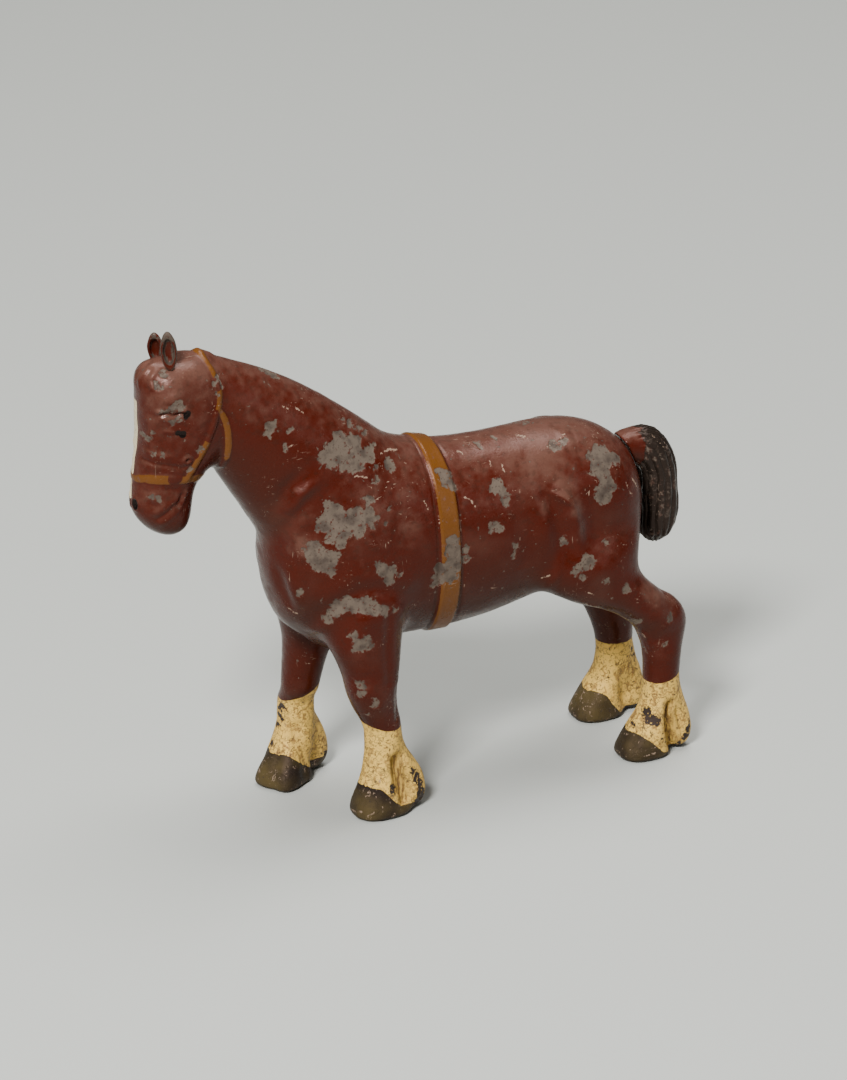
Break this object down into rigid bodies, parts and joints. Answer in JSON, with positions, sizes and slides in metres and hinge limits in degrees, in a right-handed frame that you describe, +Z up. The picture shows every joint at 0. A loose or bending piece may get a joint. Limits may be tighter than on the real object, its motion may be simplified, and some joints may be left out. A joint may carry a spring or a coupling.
{
  "type": "lead toy cart horse",
  "caption": "Standing toy heavy horse as one hollow lead casting: moulded halter and girth straps, feathered socks, docked tail, chipped enamel.",
  "frame": {"origin": "middle of the bounding box, on the plane that the hooves stand on", "axes": "+Z up, -X towards the horse's head, -Y towards its left side"},
  "size_m": [0.0822, 0.023, 0.0742],
  "materials": {
    "bay_paint": "semi-gloss enamel, chipped to the lead",
    "strap_paint": "semi-gloss enamel, worn",
    "sock_paint": "aged cream enamel with fine cracks",
    "hoof_paint": "worn dark enamel",
    "tail_paint": "worn black enamel"
  },
  "bodies": {
    "root": {"bit_boss_left": "bay_paint", "bit_boss_right": "bay_paint", "dock": "bay_paint", "ear_left": "bay_paint", "ear_right": "bay_paint", "forelock": "bay_paint", "forequarters": "bay_paint", "front_left_hoof": "hoof_paint", "front_left_leg": "bay_paint", "front_left_sock": "sock_paint", "front_right_hoof": "hoof_paint", "front_right_leg": "bay_paint", "front_right_sock": "sock_paint", "girth_band": "strap_paint", "head": "bay_paint", "headstall": "strap_paint", "hind_left_hoof": "hoof_paint", "hind_left_leg": "bay_paint", "hind_left_sock": "sock_paint", "hind_right_hoof": "hoof_paint", "hind_right_leg": "bay_paint", "hind_right_sock": "sock_paint", "hindquarters": "bay_paint", "muzzle": "bay_paint", "neck": "bay_paint", "noseband": "strap_paint", "tail": "tail_paint", "throat_latch": "strap_paint"}
  },
  "joints": []
}
